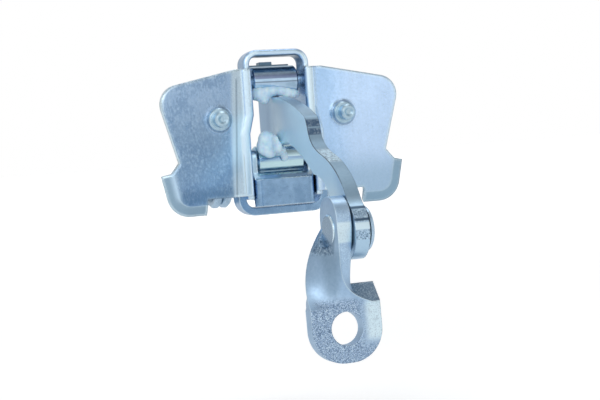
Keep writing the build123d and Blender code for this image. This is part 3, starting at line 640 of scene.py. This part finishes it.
WASHER = zinc("washer_dark", dark=(0.05, 0.08, 0.11), light=(0.09, 0.13, 0.17), rough=0.40, edge=0.0)

# Each roller band is a painted reflection: the lowest and highest lean upwards, and its tone.
UPPER_BANDS = [(0.16, 0.42, (0.16, 0.19, 0.34)), (-0.10, -0.02, (0.20, 0.27, 0.38))]
LOWER_BANDS = [(0.02, 0.22, (0.20, 0.33, 0.55)), (-0.55, -0.06, (0.56, 0.78, 0.82))]
ALONG_X = (0.15, 1.0, 1.0)
UPPER_ROLLER = steel("roller_upper", dark=(0.32, 0.47, 0.62), light=(0.54, 0.72, 0.90), rough=0.16,
                     streak=ALONG_X, bands=UPPER_BANDS)
LOWER_ROLLER = steel("roller_lower", dark=(0.48, 0.72, 0.84), light=(0.72, 0.94, 1.0), rough=0.20,
                     streak=ALONG_X, bands=LOWER_BANDS)
PIN = steel("pin_steel", dark=(0.34, 0.46, 0.58), light=(0.54, 0.68, 0.80), rough=0.26)
WIRE = steel("spring_wire", dark=(0.32, 0.46, 0.60), light=(0.52, 0.68, 0.83), rough=0.30)
GREASE = grease_material()

FINISHES = {
    "housing_bracket": STAMPING,
    "stud_left": FASTENER,
    "stud_right": FASTENER,
    "upper_roller": UPPER_ROLLER,
    "upper_roller_pin": PIN,
    "lower_roller": LOWER_ROLLER,
    "lower_roller_pin": PIN,
    "yoke_strap": STRAP,
    "roller_carrier": STRAP,
    "carrier_pivot_pin": PIN,
    "spring_left": WIRE,
    "spring_right": WIRE,
    "check_arm": ARM,
    "pivot_rivet": RIVET,
    "pivot_washer": WASHER,
    "end_bracket": BRACKET,
}
for node, finish in FINISHES.items():
    for holder in NODES[node].material_slots:
        holder.material = finish

# Grease lumps on the rollers: each is a middle and three half widths, in millimetres.
UPPER_GREASE = [
    ((-8.6, 7.6, 9.0), (1.7, 1.9, 2.5)),
    ((-6.8, 7.0, 8.8), (2.4, 2.1, 2.9)),
    ((-5.2, 6.9, 7.2), (2.2, 1.8, 2.4)),
    ((-4.0, 6.8, 9.2), (2.6, 2.0, 2.5)),
    ((-1.4, 6.9, 9.8), (2.6, 1.9, 2.0)),
    ((1.6, 7.0, 9.7), (2.6, 1.7, 1.9)),
    ((4.2, 7.2, 9.0), (2.4, 1.6, 2.0)),
    ((6.6, 7.5, 8.6), (2.2, 1.5, 1.9)),
    ((8.4, 7.9, 8.4), (1.2, 1.2, 1.5)),
]
LOWER_GREASE = [
    ((-6.0, 4.8, -8.6), (3.4, 2.9, 3.5)),
    ((-7.4, 5.4, -11.2), (2.6, 2.4, 3.4)),
    ((-5.2, 4.6, -12.4), (3.2, 2.6, 3.4)),
    ((-4.7, 3.6, -10.6), (2.1, 2.4, 3.2)),
    ((-3.9, 1.6, -9.8), (1.3, 4.6, 2.8)),
    ((-3.5, -0.6, -11.6), (1.7, 3.2, 2.5)),
    ((-1.4, 2.2, -12.9), (1.9, 2.6, 1.7)),
    ((-1.6, 5.2, -13.4), (2.1, 1.7, 1.8)),
    ((0.9, 5.6, -15.2), (1.5, 1.2, 2.3)),
]
LUMP_FACETS = 4
GREASE_GRID = 0.28
GREASE_SOFTENING = 9


def make_grease(name, lumps, body):
    """One soft lump fused from several round ones; it rides on a body."""
    shape = bmesh.new()
    for middle, half in lumps:
        place = Matrix.Translation(Vector(middle) * MM) @ Matrix.Diagonal((*(Vector(half) * MM), 1.0))
        bmesh.ops.create_icosphere(shape, subdivisions=LUMP_FACETS, radius=1.0, matrix=place)
    mesh = bpy.data.meshes.new(name)
    shape.to_mesh(mesh)
    shape.free()
    piece = link(bpy.data.objects.new(name, mesh))
    grid = piece.modifiers.new("fuse", "REMESH")
    grid.mode = "VOXEL"
    grid.voxel_size = GREASE_GRID * MM
    soft = piece.modifiers.new("soften", "SMOOTH")
    soft.iterations = GREASE_SOFTENING
    fused = bpy.data.meshes.new_from_object(piece.evaluated_get(bpy.context.evaluated_depsgraph_get()))
    piece.modifiers.clear()
    piece.data = fused
    for face in fused.polygons:
        face.use_smooth = True
    fused.materials.append(GREASE)
    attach(piece, body)
    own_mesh(piece)


make_grease("grease_upper", UPPER_GREASE, "housing")
make_grease("grease_lower", LOWER_GREASE, "carrier")

# The floor: how low and wide it lies, in metres, and how much white it adds near the object and far away.
FLOOR_Z = -0.112
FLOOR_HALF = 6.0
FLOOR_COLOR = (0.93, 0.94, 0.95, 1.0)
FLOOR_ROUGH = 0.8
FLOOR_GLOW_NEAR = 0.29
FLOOR_GLOW_FAR = 0.60
FLOOR_GLOW_FROM = 0.20
FLOOR_GLOW_TO = 1.30
FLOOR_SHEEN = 0.10
WHITE = (1.0, 1.0, 1.0, 1.0)

# The room that the metal shows: its level by height, from -1 below to 1 above, and by degrees round from
# the front.
ROOM_LEVEL = 1.3
ROOM_HEIGHT = [(-1.0, 0.62), (-0.05, 0.84), (0.25, 0.92), (0.55, 0.76), (1.0, 0.56)]
ROOM_AROUND = [
    (-180, 0.60),
    (-145, 0.56),
    (-110, 0.66),
    (-80, 0.64),
    (-50, 0.60),
    (-30, 0.80),
    (-18, 1.00),
    (17, 1.00),
    (26, 0.46),
    (38, 0.34),
    (65, 0.44),
    (95, 0.62),
    (140, 0.70),
    (180, 0.60),
]

# Softboxes: name, place, aim, size and power in watts, with lengths in millimetres.
LAMPS = [
    ("key", (-520, -620, 420), (0, 0, -10), (500, 400), 1.2),
    ("fill", (620, -420, 160), (0, 0, -20), (360, 520), 0.4),
    ("top", (60, 120, 700), (0, -10, -10), (500, 320), 1.0),
]


def make_floor():
    """A wide pale floor that shows white and keeps a soft shadow near the object."""
    mesh = bpy.data.meshes.new("floor")
    h = FLOOR_HALF
    corners = [(-h, -h, FLOOR_Z), (h, -h, FLOOR_Z), (h, h, FLOOR_Z), (-h, h, FLOOR_Z)]
    mesh.from_pydata(corners, [], [(0, 1, 2, 3)])
    floor = link(bpy.data.objects.new("floor", mesh))
    s = Shader("floor_white")
    s.set(Base_Color=FLOOR_COLOR, Roughness=FLOOR_ROUGH)
    path = s.add("ShaderNodeLightPath").outputs
    reach = s.vector("LENGTH", s.coords)["Value"]
    glow = s.spread(reach, FLOOR_GLOW_FROM, FLOOR_GLOW_TO, FLOOR_GLOW_NEAR, FLOOR_GLOW_FAR)
    shown = s.math("MULTIPLY", path["Is Camera Ray"], glow)
    sheen = s.math("MAXIMUM", path["Is Glossy Ray"], path["Is Transmission Ray"])
    level = s.math("ADD", shown, s.math("MULTIPLY", sheen, FLOOR_SHEEN))
    white = s.add("ShaderNodeEmission", Color=WHITE, Strength=level)
    blend = s.add("ShaderNodeAddShader")
    s.feed(s.principled.outputs["BSDF"], blend.inputs[0])
    s.feed(white.outputs["Emission"], blend.inputs[1])
    s.feed(blend.outputs["Shader"], s.tree.nodes["Material Output"].inputs["Surface"])
    mesh.materials.append(s.material)


def grey_stops(levels):
    """Ramp stops from 0 to 1 for a list of places and levels."""
    first = levels[0][0]
    last = levels[-1][0]
    return [((place - first) / (last - first), (level, level, level)) for place, level in levels]


def make_world():
    """White behind the object; for the metal, a room with a bright front, dimmer sides and a dim ceiling."""
    world = bpy.data.worlds.new("studio")
    bpy.context.scene.world = world
    world.use_nodes = True
    world.node_tree.nodes.clear()
    n = Nodes(world.node_tree)
    parts = n.add("ShaderNodeSeparateXYZ", Vector=n.add("ShaderNodeTexCoord").outputs["Generated"]).outputs
    around = n.math("ARCTAN2", parts["X"], n.math("MULTIPLY", parts["Y"], -1.0))
    height = n.ramp(n.spread(parts["Z"], -1.0, 1.0, smooth=False), grey_stops(ROOM_HEIGHT))
    turn = n.ramp(n.spread(around, -math.pi, math.pi, smooth=False), grey_stops(ROOM_AROUND))
    room = n.mix(1.0, height, turn, blend="MULTIPLY")
    inside = n.add("ShaderNodeBackground", Color=room, Strength=ROOM_LEVEL)
    seen = n.add("ShaderNodeBackground", Color=WHITE)
    mix = n.add("ShaderNodeMixShader", Fac=n.add("ShaderNodeLightPath").outputs["Is Camera Ray"])
    n.feed(inside.outputs["Background"], mix.inputs[1])
    n.feed(seen.outputs["Background"], mix.inputs[2])
    n.add("ShaderNodeOutputWorld", Surface=mix.outputs["Shader"])


def make_lamp(name, place, aim, size, power):
    """A softbox that looks from place to aim, in millimetres."""
    data = bpy.data.lights.new(name, "AREA")
    data.shape = "RECTANGLE"
    data.size = size[0] * MM
    data.size_y = size[1] * MM
    data.energy = power
    lamp = link(bpy.data.objects.new(name, data))
    lamp.location = Vector(place) * MM
    lamp.rotation_euler = (Vector(aim) - Vector(place)).to_track_quat("-Z", "Y").to_euler()


def make_camera():
    """The photograph's camera, from its turns and the stud centre's place in view."""
    turn = (
        Matrix.Rotation(math.radians(-VIEW_YAW), 3, "Z")
        @ Matrix.Rotation(math.radians(90 - VIEW_PITCH), 3, "X")
        @ Matrix.Rotation(math.radians(VIEW_ROLL), 3, "Z")
    )
    data = bpy.data.cameras.new("camera")
    data.sensor_width = SENSOR_MM
    data.lens = SENSOR_MM * FOCAL_PX / PHOTO_W
    data.clip_start = CLIP_START
    camera = link(bpy.data.objects.new("camera", data))
    place = turn @ Vector(VIEW_OFFSET) + Vector(STUD_CENTRE)
    camera.matrix_world = Matrix.Translation(place * MM) @ turn.to_4x4()
    bpy.context.scene.camera = camera


make_floor()
make_world()
make_camera()
for lamp in LAMPS:
    make_lamp(*lamp)

view = bpy.context.scene.view_settings
view.view_transform = "Standard"
